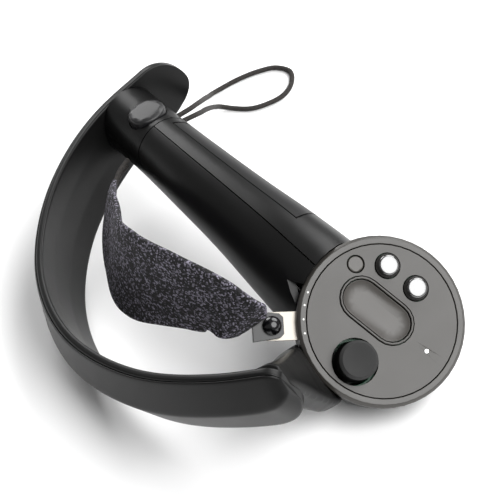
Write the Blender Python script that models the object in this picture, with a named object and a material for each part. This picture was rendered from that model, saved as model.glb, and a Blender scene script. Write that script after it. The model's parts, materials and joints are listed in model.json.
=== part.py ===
"""Left-hand knuckle-strap VR motion controller, as an assembly of separate named pieces.

The controller is drawn in its own frame, in millimetres: u points from the face disc's centre
towards its front, v across the face towards the fingers, w out of the face. One empty,
controller_attitude, turns that frame into the attitude in which the controller lies on a table,
resting on the halo's lower edge, the head's front rim and the two trigger cheeks. The table is
z = 0, and the handle runs along +Y.
"""

import math

import bmesh
import bpy
import numpy as np
from mathutils import Matrix, Vector

MM = 0.001
GAP = 0.3                    # clearance between pieces that touch
TURN = 48                    # facets round a large turned piece
FINE_TURN = 24               # facets round a small one

# How it lies on the table
REST_ROLL = 9.4
REST_PITCH = 38.9
REST_YAW = -97.0
FACE_HEIGHT = 27.5           # disc centre above the table

# Face disc
FACE_R = 24.0
FACE_T = 2.0
BEZEL_R = 27.0
BEZEL_H = 2.4
BUTTON_WELL_R = 4.2
BUTTON_RISE = 2.2
BUTTON_TRAVEL = 0.8
SYSTEM_R = 2.9
SYSTEM_AT = (-19.4, 1.8)
A_AT = (-14.0, 10.4)
B_AT = (-3.5, 14.7)
PAD_AT = (-3.6, 0.2)
PAD_ANGLE = math.radians(22.0)
PAD_LENGTH = 26.6
PAD_WIDTH = 14.4
PAD_RIM = 0.7
LED_AT = (15.0, 7.7)
LED_R = 0.8

# Thumbstick
STICK_AT = (6.6, -14.1)
STICK_WELL_R = 7.5
STICK_PIVOT = -2.0           # height of the two tilt axes
STICK_CAP_R = 6.2
STICK_TOP = 5.6
STICK_CAP_T = 2.3
STICK_CLICK = 0.4
SKIRT_R = 6.6

# Head
HEAD_R = 26.4
HEAD_TOP = -4.2
HEAD_WALL = 1.8
HEAD_DEPTH = 19.2

# Trigger, hinged under the head on a pin along v
TRIGGER_AT = (2.0, 0.5, -23.6)
TRIGGER_W = 12.0
TRIGGER_PIN_R = 1.2
PIN_RUNNING = 0.07
CHEEK_T = 2.0
CHEEK_GAP = 0.5
FRONT_CHEEK_LONGER = 2.6     # so that both cheeks reach the table

# Handle: middle line from the halo to the head, with the radius at each point
HANDLE_LINE = [(-99.0, -17.4, -78.0), (-85.9, -16.3, -64.7), (-67.8, -14.8, -46.9),
               (-50.2, -12.5, -32.6), (-33.0, -9.7, -21.6), (-22.0, -7.6, -16.4),
               (-12.5, -5.6, -12.6)]
HANDLE_RADII = [11.0, 11.0, 12.1, 13.6, 15.8, 17.0, 17.6]
HANDLE_WALL = 1.8
HANDLE_STEP = 0.025          # share of the line from one cross-section to the next
HANDLE_GAP = 0.004           # share of the line left free where two pieces meet
END_CAP_TO = 0.215           # the end cap's share of the handle's line
SEAM_ANGLE = 100.0           # round the handle, from +v over +w
SEAM_OPPOSITE = 270.0
PANEL_ANGLES = (-58.0, 72.0)
PANEL_SPAN = (0.248, 0.79)
PANEL_WALL = 1.6
BATTERY_SPAN = (0.28, 0.595)
CORD_HOLE_AT = (-88.6, -6.6, -62.5)
CORD_HOLE_R = 2.1

# Halo: its top edge from the round end at the handle to the terminal over the head
HALO_TOP_EDGE = [(-110.5, 1.5, -66.6), (-108.8, -7.6, -67.5), (-103.2, -27.9, -69.7),
                 (-88.7, -54.5, -63.0), (-69.8, -72.8, -49.6), (-47.7, -81.7, -26.8),
                 (-26.0, -76.0, 1.7), (-12.4, -60.9, 26.3), (-5.4, -46.6, 38.2)]
HALO_DROP = Vector((0.744, 0.347, -0.572)).normalized()
HALO_WIDTH = 25.0
HALO_SKIN = 2.0              # thickness of the inner shell
HALO_LOBES = (10.0, 19.0)    # how long each side takes to round off at the handle end
NOSE_REACH = (5.0, 13.0)     # how long each takes at the terminal
HALO_CREST = 7.7             # how far down the outer side its crest lies
HALO_CREST_Q = 8.2           # how far out the crest stands
HALO_FOOT_Q = 4.6
HALO_COVER_WALL = 1.5
HALO_STATIONS = 44
SENSOR_COUNT = 6

# Bridge arm: centre, direction across, width, depth, and how far its two back corners are drawn in
ARM_STATIONS = [(5.0, -20.5, -11.5, 1.0, 0.1, 0.05, 21.0, 8.0, 0.0, 0.0),
                (4.0, -26.5, -6.8, 1.0, 0.15, -0.05, 22.5, 8.5, 0.0, 0.0),
                (1.8, -32.5, 1.6, 0.95, 0.22, -0.22, 20.5, 9.0, 1.0, 1.5),
                (-1.2, -39.0, 11.5, 0.88, 0.30, -0.38, 17.5, 10.5, 3.5, 3.4),
                (-4.0, -46.0, 22.5, 0.80, 0.34, -0.50, 15.5, 12.0, 5.0, 5.0),
                (-4.9, -49.0, 27.0, 0.80, 0.34, -0.50, 15.5, 12.0, 5.0, 5.5)]

# Strap
MARK_ANGLE = -117.0          # where the slider stands round the rim
SLIDE_RANGE = (-15.0, 2.0)   # how far the strap bracket slides round the rim, degrees
BRACKET_W = 9.0
BRACKET_T = 1.0
RIVET_REACH = 35.0
STRAP_T = 3.0
STRAP_LINE = [(-22.4, -39.5, 3.4), (-29.3, -43.8, 2.9), (-38.9, -50.0, -3.3),
              (-48.4, -55.2, -14.3), (-55.8, -56.3, -26.7), (-64.3, -52.2, -38.2),
              (-71.9, -46.9, -47.9), (-77.8, -40.7, -53.6)]
STRAP_WIDTHS = [20.0, 27.0, 32.0, 34.5, 35.0, 32.0, 24.0, 13.0]
STRAP_ACROSS = Vector((-0.45, 0.18, 0.87)).normalized()

# Cord lock at the handle's end, and the screws under the head
LOCK_AT = (-94.3, -17.5, -59.0)
LOCK_LENGTH = 12.5
LOCK_WIDTH = 10.6
LOCK_TRAVEL = 1.2
SCREWS_AT = [(13.5, 6.5), (12.0, -10.0), (-0.5, -15.5)]

# Draw cord, in the table's frame about the disc's centre: the route's own points
CORD_D = 1.7
CORD_ROUTE = [(13.2, 108.9, 34.6), (17.5, 107.9, 35.2), (22.0, 107.6, 35.2), (26.0, 109.0, 33.5),
              (31.9, 113.1, 28.5), (38.6, 118.9, 21.5), (45.7, 125.4, 13.5), (52.6, 131.5, 6.0),
              (57.3, 134.8, 2.0), (61.0, 135.4, 0.95), (69.8, 134.2, 0.95), (76.5, 132.2, 0.95),
              (82.0, 129.0, 0.95), (83.8, 124.6, 0.95), (80.2, 120.0, 0.95), (73.5, 117.4, 0.95),
              (66.8, 118.3, 0.95), (61.5, 120.6, 0.95), (57.0, 125.7, 0.95), (54.7, 127.7, 1.8),
              (49.6, 125.6, 6.5), (43.7, 121.0, 13.0), (37.4, 115.7, 20.0), (31.2, 110.7, 26.5),
              (26.0, 107.2, 31.0), (22.0, 105.6, 33.5), (17.5, 106.2, 33.8), (13.2, 107.5, 33.5)]


# ---------------------------------------------------------------- materials and meshes

FINISHES = {
    "face_plastic": ((0.150, 0.148, 0.142), 0.42, 0.0),
    "bezel_plastic": ((0.120, 0.118, 0.112), 0.35, 0.2),
    "shell_plastic": ((0.024, 0.024, 0.025), 0.45, 0.0),
    "soft_touch": ((0.018, 0.018, 0.019), 0.62, 0.0),
    "gloss_button": ((0.010, 0.010, 0.011), 0.12, 0.0),
    "pad_plastic": ((0.130, 0.125, 0.118), 0.38, 0.0),
    "stick_rubber": ((0.020, 0.020, 0.020), 0.75, 0.0),
    "steel": ((0.620, 0.600, 0.570), 0.25, 1.0),
    "dark_steel": ((0.150, 0.145, 0.140), 0.28, 1.0),
    "strap_fabric": ((0.045, 0.043, 0.052), 0.95, 0.0),
    "cord_fabric": ((0.050, 0.042, 0.036), 0.85, 0.0),
    "circuit_board": ((0.010, 0.080, 0.040), 0.45, 0.0),
    "flex_circuit": ((0.450, 0.220, 0.050), 0.40, 0.0),
    "battery_wrap": ((0.080, 0.150, 0.350), 0.40, 0.0),
    "silicone": ((0.550, 0.550, 0.560), 0.60, 0.0),
    "clear_plastic": ((0.850, 0.860, 0.880), 0.15, 0.0),
}


def finish_of(name):
    """The material of that name, made the first time it is asked for."""
    if name in bpy.data.materials:
        return bpy.data.materials[name]
    colour, roughness, metallic = FINISHES[name]
    material = bpy.data.materials.new(name)
    material.use_nodes = True
    shader = material.node_tree.nodes["Principled BSDF"]
    shader.inputs["Base Color"].default_value = (*colour, 1.0)
    shader.inputs["Roughness"].default_value = roughness
    shader.inputs["Metallic"].default_value = metallic
    return material


def add_mesh(name, verts, faces, finish, parent, place=(0.0, 0.0, 0.0), turn=(0.0, 0.0, 0.0)):
    """A closed mesh from points in millimetres, faces turned outwards, flat parts kept sharp."""
    mesh = bpy.data.meshes.new(name)
    mesh.from_pydata([tuple(MM * c for c in v) for v in verts], [], faces)
    work = bmesh.new()
    work.from_mesh(mesh)
    bmesh.ops.recalc_face_normals(work, faces=work.faces)
    work.to_mesh(mesh)
    work.free()
    mesh.shade_smooth()
    mesh.set_sharp_from_angle(angle=math.radians(35.0))
    mesh.materials.append(finish_of(finish))
    piece = bpy.data.objects.new(name, mesh)
    bpy.context.scene.collection.objects.link(piece)
    piece.parent = parent
    piece.location = Vector(place) * MM
    piece.rotation_euler = turn
    return piece


def add_empty(name, parent, place=(0.0, 0.0, 0.0), turn=(0.0, 0.0, 0.0)):
    """An empty that stands for a frame or for a joint's axis."""
    empty = bpy.data.objects.new(name, None)
    empty.empty_display_size = 0.01
    bpy.context.scene.collection.objects.link(empty)
    empty.parent = parent
    empty.location = Vector(place) * MM
    empty.rotation_euler = turn
    return empty


def turned(profile, steps=TURN, closed=False):
    """Points and faces of a profile of (radius, height) turned about the w axis.

    An open profile starts and ends on the axis; a closed one makes a ring.
    """
    verts = []
    rows = []
    for radius, height in profile:
        if radius < 1e-6:
            rows.append([len(verts)] * steps)
            verts.append((0.0, 0.0, height))
            continue
        rows.append(list(range(len(verts), len(verts) + steps)))
        for k in range(steps):
            angle = 2.0 * math.pi * k / steps
            verts.append((radius * math.cos(angle), radius * math.sin(angle), height))
    pairs = list(zip(rows, rows[1:]))
    if closed:
        pairs.append((rows[-1], rows[0]))
    faces = []
    for low, high in pairs:
        for k in range(steps):
            m = (k + 1) % steps
            corner = [low[k], low[m], high[m], high[k]]
            face = [c for i, c in enumerate(corner) if c not in corner[:i]]
            faces.append(face)
    return verts, faces


def disc(radius, low, high, edge=0.0):
    """Profile of a flat disc with its upper edge eased by edge."""
    if edge:
        return [(0.0, low), (radius, low), (radius, high - edge), (radius - edge, high), (0.0, high)]
    return [(0.0, low), (radius, low), (radius, high), (0.0, high)]


def lofted(sections):
    """Points and faces of a solid through rings of equally many points, both ends capped."""
    verts = [tuple(p) for ring in sections for p in ring]
    count = len(sections[0])
    faces = []
    for i in range(len(sections) - 1):
        for k in range(count):
            m = (k + 1) % count
            faces.append((i * count + k, i * count + m, (i + 1) * count + m, (i + 1) * count + k))
    faces.append(tuple(range(count)))
    faces.append(tuple(range((len(sections) - 1) * count, len(sections) * count)))
    return verts, faces


def extruded(outline, low, high):
    """Points and faces of an outline of (u, v) carried from height low to height high."""
    return lofted([[(u, v, low) for u, v in outline], [(u, v, high) for u, v in outline]])


def block(size):
    """Points and faces of a box of that size about the origin."""
    a, b, c = (s / 2.0 for s in size)
    return extruded([(-a, -b), (a, -b), (a, b), (-a, b)], -c, c)


def capsule(length, width, arc=10):
    """Outline of a bar with round ends, long way along u."""
    radius = width / 2.0
    reach = length / 2.0 - radius
    outline = []
    for side in (1.0, -1.0):
        for k in range(arc + 1):
            angle = math.pi * (k / arc - 0.5)
            outline.append((side * (reach + radius * math.cos(angle)), side * radius * math.sin(angle)))
    return outline


def ring_of(outer, inner, low, high):
    """Points and faces of a band between two outlines of equally many points."""
    count = len(outer)
    verts = [(u, v, low) for u, v in outer] + [(u, v, high) for u, v in outer]
    verts += [(u, v, high) for u, v in inner] + [(u, v, low) for u, v in inner]
    faces = []
    for level in range(4):
        after = (level + 1) % 4
        for k in range(count):
            m = (k + 1) % count
            faces.append((level * count + k, level * count + m, after * count + m, after * count + k))
    return verts, faces


def cut(piece, tool, operation="DIFFERENCE"):
    """Cuts tool out of piece, or joins it on, and hides the tool."""
    change = piece.modifiers.new(tool.name, "BOOLEAN")
    change.operation = operation
    change.solver = "EXACT"
    change.object = tool
    tool.hide_render = True
    tool.display_type = "WIRE"


def smooth_line(points, count):
    """count points, evenly spaced along a smooth curve through the given points."""
    rows = np.array(points, dtype=float)
    chord = np.linalg.norm(np.diff(rows, axis=0), axis=1)
    knots = np.concatenate([[0.0], np.cumsum(chord)])
    slope = np.gradient(rows, knots, axis=0)
    fine = np.linspace(0.0, knots[-1], 40 * len(rows))
    at = np.clip(np.searchsorted(knots, fine, side="right") - 1, 0, len(rows) - 2)
    span = chord[at]
    t = (fine - knots[at]) / span
    t = t[:, None]
    span = span[:, None]
    curve = ((2 * t**3 - 3 * t**2 + 1) * rows[at] + (t**3 - 2 * t**2 + t) * span * slope[at]
             + (3 * t**2 - 2 * t**3) * rows[at + 1] + (t**3 - t**2) * span * slope[at + 1])
    run = np.concatenate([[0.0], np.cumsum(np.linalg.norm(np.diff(curve, axis=0), axis=1))])
    even = np.linspace(0.0, run[-1], count)
    return np.stack([np.interp(even, run, curve[:, c]) for c in range(rows.shape[1])], axis=1)


# ---------------------------------------------------------------- frames

def clear_scene():
    """Removes whatever the new file starts with."""
    for thing in list(bpy.data.objects):
        bpy.data.objects.remove(thing)


def make_frames():
    """The table frame under the disc's centre, and the controller's attitude in it."""
    table = add_empty("table_frame", None)
    turn = tuple(math.radians(a) for a in (REST_ROLL, REST_PITCH, REST_YAW))
    attitude = add_empty("controller_attitude", table, (0.0, 0.0, FACE_HEIGHT), turn)
    return table, attitude


# ---------------------------------------------------------------- face and controls

def make_face(root):
    """The face plate with its wells, the bezel round it and the light pipe."""
    verts, faces = turned(disc(FACE_R, -FACE_T, 0.0))
    plate = add_mesh("face_plate", verts, faces, "face_plastic", root)
    wells = [("system_hole", SYSTEM_AT, SYSTEM_R), ("a_well", A_AT, BUTTON_WELL_R),
             ("b_well", B_AT, BUTTON_WELL_R), ("stick_well", STICK_AT, STICK_WELL_R),
             ("led_hole", LED_AT, LED_R)]
    for name, at, radius in wells:
        verts, faces = turned(disc(radius, -FACE_T - 1.0, 1.0), FINE_TURN)
        cut(plate, add_mesh(name, verts, faces, "face_plastic", root, (*at, 0.0)))
    verts, faces = extruded(capsule(PAD_LENGTH, PAD_WIDTH), -FACE_T - 1.0, 1.0)
    cut(plate, add_mesh("pad_well", verts, faces, "face_plastic", root, (*PAD_AT, 0.0),
                        (0.0, 0.0, PAD_ANGLE)))
    inner = FACE_R + GAP
    bezel = [(inner, -BEZEL_H), (BEZEL_R, -BEZEL_H), (BEZEL_R, -0.9), (BEZEL_R - 0.9, 0.0), (inner, 0.0)]
    verts, faces = turned(bezel, TURN, closed=True)
    add_mesh("bezel_ring", verts, faces, "bezel_plastic", root)
    verts, faces = turned(disc(LED_R - GAP / 2.0, -3.6, -0.1), 12)
    add_mesh("status_light_pipe", verts, faces, "clear_plastic", root, (*LED_AT, 0.0))


def make_buttons(root):
    """The A, B and system buttons on their travel axes, each over its dome switch."""
    wide = BUTTON_WELL_R - GAP
    cap = [(0.0, -2.2), (wide, -2.2), (wide, 0.5), (wide - 0.7, BUTTON_RISE - 0.4),
           (wide - 1.2, BUTTON_RISE), (0.0, BUTTON_RISE + 0.15)]
    low = -2.2 - BUTTON_TRAVEL - 0.15
    for name, at in (("a_button", A_AT), ("b_button", B_AT)):
        axis = add_empty(name + "_axis", root, (*at, 0.0))
        verts, faces = turned(cap, FINE_TURN)
        add_mesh(name, verts, faces, "gloss_button", axis)
        add_dome(name[0] + "_dome_switch", at, low, root)
    axis = add_empty("system_button_axis", root, (*SYSTEM_AT, 0.0))
    verts, faces = turned(disc(SYSTEM_R - GAP, -2.2, -0.1, 0.3), FINE_TURN)
    add_mesh("system_button", verts, faces, "pad_plastic", axis)
    add_dome("system_dome_switch", SYSTEM_AT, low, root)


def add_dome(name, at, top, root):
    """A silicone dome switch that stands on the control board."""
    board = -FACE_T - 2.4
    profile = [(0.0, board + GAP), (2.2, board + GAP), (1.3, top - 0.05), (0.0, top)]
    verts, faces = turned(profile, 16)
    add_mesh(name, verts, faces, "silicone", root, (*at, 0.0))


def make_trackpad(root):
    """The dished touch surface in its raised rim, on a force sensor."""
    turn = (0.0, 0.0, PAD_ANGLE)
    outer = capsule(PAD_LENGTH - 2 * GAP, PAD_WIDTH - 2 * GAP)
    shrink = 2.0 * (PAD_RIM + GAP)
    inner = capsule(PAD_LENGTH - shrink, PAD_WIDTH - shrink)
    verts, faces = ring_of(outer, inner, -FACE_T, 0.35)
    add_mesh("trackpad_rim", verts, faces, "face_plastic", root, (*PAD_AT, 0.0), turn)
    axis = add_empty("trackpad_axis", root, (*PAD_AT, 0.0), turn)
    inset = shrink + 2.0 * GAP
    levels = [(inset, -FACE_T), (inset, -0.1), (inset + 3.0, -0.75), (inset + 7.0, -1.0)]
    rings = [[(u, v, height) for u, v in capsule(PAD_LENGTH - less, PAD_WIDTH - less)]
             for less, height in levels]
    verts, faces = lofted(rings)
    add_mesh("trackpad_surface", verts, faces, "pad_plastic", axis)
    verts, faces = extruded(capsule(12.0, 6.0, 6), -FACE_T - 2.1, -FACE_T - 0.6)
    add_mesh("trackpad_force_sensor", verts, faces, "flex_circuit", root, (*PAD_AT, 0.0), turn)


def make_thumbstick(root):
    """The stick in its gimbal: rocker about u, stem about v, and a cap that clicks down."""
    rocker = add_empty("stick_rocker_axis", root, (*STICK_AT, STICK_PIVOT))
    stem = add_empty("stick_stem_axis", rocker)
    cap = add_empty("stick_click_axis", stem)
    top = STICK_TOP - STICK_PIVOT
    under = top - STICK_CAP_T
    dish = [(0.0, under + 0.9), (2.4, under + 0.9), (2.4, under), (STICK_CAP_R - 0.6, under),
            (STICK_CAP_R, under + 0.6), (STICK_CAP_R, top - 0.8), (STICK_CAP_R - 0.8, top),
            (STICK_CAP_R - 2.2, top - 0.1), (0.0, top - 0.7)]
    verts, faces = turned(dish, 32)
    add_mesh("thumbstick_cap", verts, faces, "stick_rubber", cap)
    shaft_top = under + 0.9 - GAP - STICK_CLICK
    shaft = [(0.0, -1.6), (1.6, -1.6), (1.6, shaft_top), (0.0, shaft_top)]
    verts, faces = turned(shaft, 16)
    add_mesh("thumbstick_stem", verts, faces, "shell_plastic", stem)
    skirt = []
    for radius, way in ((SKIRT_R, 1.0), (SKIRT_R - 0.8, -1.0)):
        angles = np.radians(np.linspace(20.0, 78.0, 7))[::int(way)]
        skirt += [(radius * math.sin(a), radius * math.cos(a) - GAP - STICK_CLICK) for a in angles]
    verts, faces = turned([(r, h - 0.9) for r, h in skirt], 32, closed=True)
    add_mesh("thumbstick_skirt", verts, faces, "shell_plastic", stem)
    gimbal = [(2.2, -1.2), (3.6, -1.2), (3.6, 0.6), (2.2, 0.6)]
    verts, faces = turned(gimbal, 16, closed=True)
    add_mesh("stick_gimbal_ring", verts, faces, "steel", rocker)
    verts, faces = block((11.0, 11.0, 5.6))
    add_mesh("thumbstick_module", verts, faces, "shell_plastic", root, (*STICK_AT, -9.0))


def make_boards(root):
    """The control board under the face, the main board and the haptic motor below it."""
    high = -FACE_T - 2.4
    verts, faces = turned(disc(23.0, high - 1.0, high))
    board = add_mesh("control_board", verts, faces, "circuit_board", root)
    verts, faces = turned(disc(6.9, high - 2.0, high + 1.0), FINE_TURN)
    cut(board, add_mesh("stick_opening", verts, faces, "circuit_board", root, (*STICK_AT, 0.0)))
    verts, faces = turned(disc(18.0, -14.6, -13.6))
    add_mesh("main_board", verts, faces, "circuit_board", root)
    verts, faces = turned(disc(3.8, -7.5, 7.5, 0.6), FINE_TURN)
    add_mesh("haptic_motor", verts, faces, "steel", root, (-10.0, 6.5, -9.6),
             (0.0, math.pi / 2.0, 0.6))


# ---------------------------------------------------------------- head and trigger

def head_profile(grow):
    """Outer side of the head from its top rim to its underside, grown by grow."""
    r = HEAD_R + grow
    return [(r, HEAD_TOP), (r - 0.2, HEAD_TOP - 4.8), (r - 1.4, HEAD_TOP - 9.3),
            (r - 3.6, HEAD_TOP - 12.6 - grow * 0.7), (r - 7.9, -HEAD_DEPTH + 0.3 - grow),
            (0.0, -HEAD_DEPTH - grow)]


def make_head(root):
    """The bowl under the face with the two cheeks that carry the trigger and the pin."""
    verts, faces = turned(head_profile(0.0)[::-1] + head_profile(-HEAD_WALL))
    head = add_mesh("head_shell", verts, faces, "shell_plastic", root)
    side = [(7.0, -18.3), (6.2, -24.8), (1.0, -33.2), (-1.2, -35.6), (-6.4, -39.8), (-9.2, -38.8),
            (-11.5, -30.0), (-11.5, -18.3)]
    v = TRIGGER_AT[1]
    half = TRIGGER_W / 2.0 + CHEEK_GAP
    for name, start, longer in (("front_cheek", v + half, FRONT_CHEEK_LONGER),
                                ("back_cheek", v - half - CHEEK_T, 0.0)):
        outline = [(x, z - longer if z < -35.0 else z) for x, z in side]
        verts, faces = lofted([[(x, start, z) for x, z in outline],
                               [(x, start + CHEEK_T, z) for x, z in outline]])
        cut(head, add_mesh(name, verts, faces, "shell_plastic", root), "UNION")
    back = [(-11.5, -18.3), (-11.5, -30.0), (-9.2, -38.8), (-8.1, -38.9), (-10.1, -30.0), (-10.1, -18.3)]
    verts, faces = lofted([[(x, v - half - 0.5, z) for x, z in back],
                           [(x, v + half + 0.5, z) for x, z in back]])
    cut(head, add_mesh("cheek_web", verts, faces, "shell_plastic", root), "UNION")
    bore = TRIGGER_PIN_R + PIN_RUNNING
    verts, faces = turned(disc(bore, -12.0, 12.0), 20)
    cut(head, add_mesh("pin_bore", verts, faces, "shell_plastic", root, TRIGGER_AT,
                       (math.pi / 2.0, 0.0, 0.0)))
    return head


def make_trigger(root):
    """The trigger on its pin, with its return spring."""
    axis = add_empty("trigger_axis", root, TRIGGER_AT)
    u0, v0, w0 = TRIGGER_AT
    outline = [(-1.6, 3.0), (1.2, 3.0), (4.2, 0.6), (6.2, -1.0), (4.4, -4.6), (1.0, -8.2),
               (-3.0, -11.6), (-6.6, -14.4), (-8.3, -13.6), (-6.9, -9.8), (-4.6, -5.0), (-3.2, -0.5)]
    half = TRIGGER_W / 2.0
    verts, faces = lofted([[(x, -half, z) for x, z in outline], [(x, half, z) for x, z in outline]])
    trigger = add_mesh("trigger", verts, faces, "shell_plastic", axis)
    bore = TRIGGER_PIN_R + PIN_RUNNING
    verts, faces = turned(disc(bore, -half - 1.0, half + 1.0), 20)
    cut(trigger, add_mesh("trigger_bore", verts, faces, "shell_plastic", axis,
                          (0.0, 0.0, 0.0), (math.pi / 2.0, 0.0, 0.0)))
    verts, faces = block((8.6, 4.6, 7.2))
    cut(trigger, add_mesh("spring_slot", verts, faces, "shell_plastic", axis, (-1.9, 0.0, 0.9)))
    reach = half + CHEEK_GAP + CHEEK_T + 0.2
    verts, faces = turned(disc(TRIGGER_PIN_R, -reach, reach), 20)
    add_mesh("trigger_pin", verts, faces, "steel", root, TRIGGER_AT, (math.pi / 2.0, 0.0, 0.0))
    add_spring("trigger_spring", root, TRIGGER_AT, 1.75, 0.22, 3.0, 0.9, (math.pi / 2.0, 0.0, 0.0))


def add_spring(name, root, at, radius, wire, turns, pitch, turn):
    """A coil of round wire as a closed tube along a helix, centred on its place."""
    steps = int(turns * 14)
    around = 6
    height = turns * pitch
    sections = []
    for i in range(steps + 1):
        share = i / steps
        angle = 2.0 * math.pi * turns * share
        out = Vector((math.cos(angle), math.sin(angle), 0.0))
        centre = out * radius + Vector((0.0, 0.0, height * (share - 0.5)))
        ring = []
        for k in range(around):
            a = 2.0 * math.pi * k / around
            ring.append(centre + out * (wire * math.cos(a)) + Vector((0.0, 0.0, wire * math.sin(a))))
        sections.append(ring)
    verts, faces = lofted(sections)
    return add_mesh(name, verts, faces, "steel", root, at, turn)


# ---------------------------------------------------------------- handle

def handle_frames(shares):
    """Centre, radius and the two cross directions (towards v, towards w) along the handle."""
    rows = np.hstack([np.array(HANDLE_LINE), np.array(HANDLE_RADII)[:, None]])
    line = smooth_line(rows, 201)
    even = np.linspace(0.0, 1.0, 201)
    frames = []
    for share in shares:
        here, before, after = (np.array([np.interp(s, even, line[:, c]) for c in range(4)])
                               for s in (share, share - 0.01, share + 0.01))
        ahead = Vector(after[:3] - before[:3]).normalized()
        side = Vector((0.0, 1.0, 0.0))
        side = (side - ahead * side.dot(ahead)).normalized()
        above = side.cross(ahead).normalized()
        if above.z < 0.0:
            above = -above
        frames.append((Vector(here[:3]), float(here[3]), side, above))
    return frames


def handle_radius(radius, angle):
    """The handle is a little flatter across v than it is deep."""
    return radius * (1.0 - 0.035 * math.cos(2.0 * angle))


def handle_ring(frame, angles, inset):
    """Points of one cross-section of the handle, inset below its surface."""
    centre, radius, side, above = frame
    ring = []
    for angle in angles:
        reach = handle_radius(radius, angle) - inset
        ring.append(centre + side * (reach * math.cos(angle)) + above * (reach * math.sin(angle)))
    return ring


def tube_patch(first, last, start, end, outset, inset, steps):
    """A closed patch of the handle's wall, between two shares of its line and two angles."""
    count = max(2, round((last - first) / HANDLE_STEP) + 1)
    angles = [math.radians(start + (end - start) * k / steps) for k in range(steps + 1)]
    sections = []
    for frame in handle_frames(np.linspace(first, last, count)):
        outer = handle_ring(frame, angles, -outset)
        inner = handle_ring(frame, angles[::-1], inset)
        sections.append(outer + inner)
    return lofted_strip(sections)


def lofted_strip(sections):
    """Like lofted, but each end is closed with a row of quads, which suits a thin curved wall."""
    verts, faces = lofted(sections)
    faces = faces[:-2]
    count = len(sections[0])
    half = count // 2
    for base in (0, (len(sections) - 1) * count):
        for k in range(half - 1):
            faces.append((base + k, base + k + 1, base + count - 2 - k, base + count - 1 - k))
    return verts, faces


def make_handle(root, clear_head, clear_halo, clear_slider):
    """Both half shells, the finger sensor panel let into one of them, and the end cap."""
    seam = math.degrees(GAP / 2.0 / HANDLE_RADII[2])
    start = END_CAP_TO + HANDLE_GAP
    verts, faces = tube_patch(start, 1.0, SEAM_ANGLE + seam, SEAM_OPPOSITE - seam, 0.0, HANDLE_WALL, 18)
    palm = add_mesh("handle_palm_shell", verts, faces, "shell_plastic", root)
    cut(palm, clear_head)
    cut(palm, clear_slider)
    verts, faces = tube_patch(start, 1.0, SEAM_OPPOSITE - 360.0 + seam, SEAM_ANGLE - seam, 0.0,
                              HANDLE_WALL, 20)
    finger = add_mesh("handle_finger_shell", verts, faces, "shell_plastic", root)
    cut(finger, clear_head)
    lift = math.degrees(GAP / HANDLE_RADII[3])
    low, high = PANEL_SPAN
    verts, faces = tube_patch(low - HANDLE_GAP, high + HANDLE_GAP, PANEL_ANGLES[0] - lift, PANEL_ANGLES[1] + lift,
                              1.0, HANDLE_WALL + 1.0, 14)
    cut(finger, add_mesh("panel_window", verts, faces, "shell_plastic", root))
    verts, faces = tube_patch(low, high, PANEL_ANGLES[0], PANEL_ANGLES[1], 0.0,
                              PANEL_WALL, 14)
    panel = add_mesh("finger_sensor_panel", verts, faces, "soft_touch", root)
    cut(panel, clear_head)
    verts, faces = tube_patch(low + 0.05, high - 0.075, PANEL_ANGLES[0] + 8.0,
                              PANEL_ANGLES[1] - 8.0, -PANEL_WALL - GAP, PANEL_WALL + GAP + 0.4, 8)
    add_mesh("finger_sensor_flex", verts, faces, "flex_circuit", root)
    frames = handle_frames(np.linspace(0.0, END_CAP_TO, 11))
    angles = [2.0 * math.pi * k / 28 for k in range(28)]
    rings = [handle_ring(frame, angles, 0.0) for frame in frames]
    verts, faces = lofted(rings)
    cap = add_mesh("handle_end_cap", verts, faces, "shell_plastic", root)
    cut(cap, clear_halo)
    verts, faces = turned(disc(CORD_HOLE_R, -9.0, 5.0), 14)
    cut(cap, add_mesh("cord_hole", verts, faces, "shell_plastic", root, CORD_HOLE_AT,
                      (-math.pi / 2.0, 0.0, 0.0)))
    return cap, frames


def make_handle_core(root):
    """The battery and its cradle."""
    first, last = (frame[0] for frame in handle_frames(BATTERY_SPAN))
    middle = (first + last) / 2.0
    along = (last - first).normalized()
    length = (last - first).length
    turn = along.to_track_quat("Z", "Y").to_euler()
    verts, faces = turned(disc(6.5, -length / 2.0, length / 2.0, 0.5), FINE_TURN)
    add_mesh("battery", verts, faces, "battery_wrap", root, middle, turn)
    sections = []
    for height in (-length / 2.0, length / 2.0):
        angles = np.linspace(math.pi, 2.0 * math.pi, 11)
        outer = [(7.8 * math.cos(a), 7.8 * math.sin(a), height) for a in angles]
        inner = [(6.8 * math.cos(a), 6.8 * math.sin(a), height) for a in angles[::-1]]
        sections.append(outer + inner)
    verts, faces = lofted_strip(sections)
    add_mesh("battery_cradle", verts, faces, "shell_plastic", root, middle, turn)


# ---------------------------------------------------------------- halo and bridge arm

def halo_frames():
    """Top-edge point, outward direction and the shares of the section kept, along the halo."""
    line = smooth_line(HALO_TOP_EDGE, HALO_STATIONS)
    frames = []
    for i in range(HALO_STATIONS):
        share = i / (HALO_STATIONS - 1)
        ahead = Vector(line[min(i + 1, HALO_STATIONS - 1)]) - Vector(line[max(i - 1, 0)])
        out = HALO_DROP.cross(ahead).normalized()
        frames.append((Vector(line[i]), out, share))
    return frames


def halo_span(x, left):
    """Where the section starts and ends down its width: x from the round end, left to the other."""
    half = HALO_WIDTH / 2.0
    top, foot = (0.06 + 0.94 * math.sqrt(1.0 - max(0.0, 1.0 - x / lobe) ** 2) for lobe in HALO_LOBES)
    spoon = 1.0 - 0.10 * math.exp(-((x - HALO_LOBES[0]) / 18.0) ** 2)
    top = half - half * top * spoon
    foot = half + half * foot * spoon
    turn_in, turn_up = (1.0 - math.sqrt(1.0 - max(0.0, 1.0 - left / reach) ** 2) for reach in NOSE_REACH)
    return top + 4.0 * turn_in, foot - 12.0 * turn_up


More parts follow.
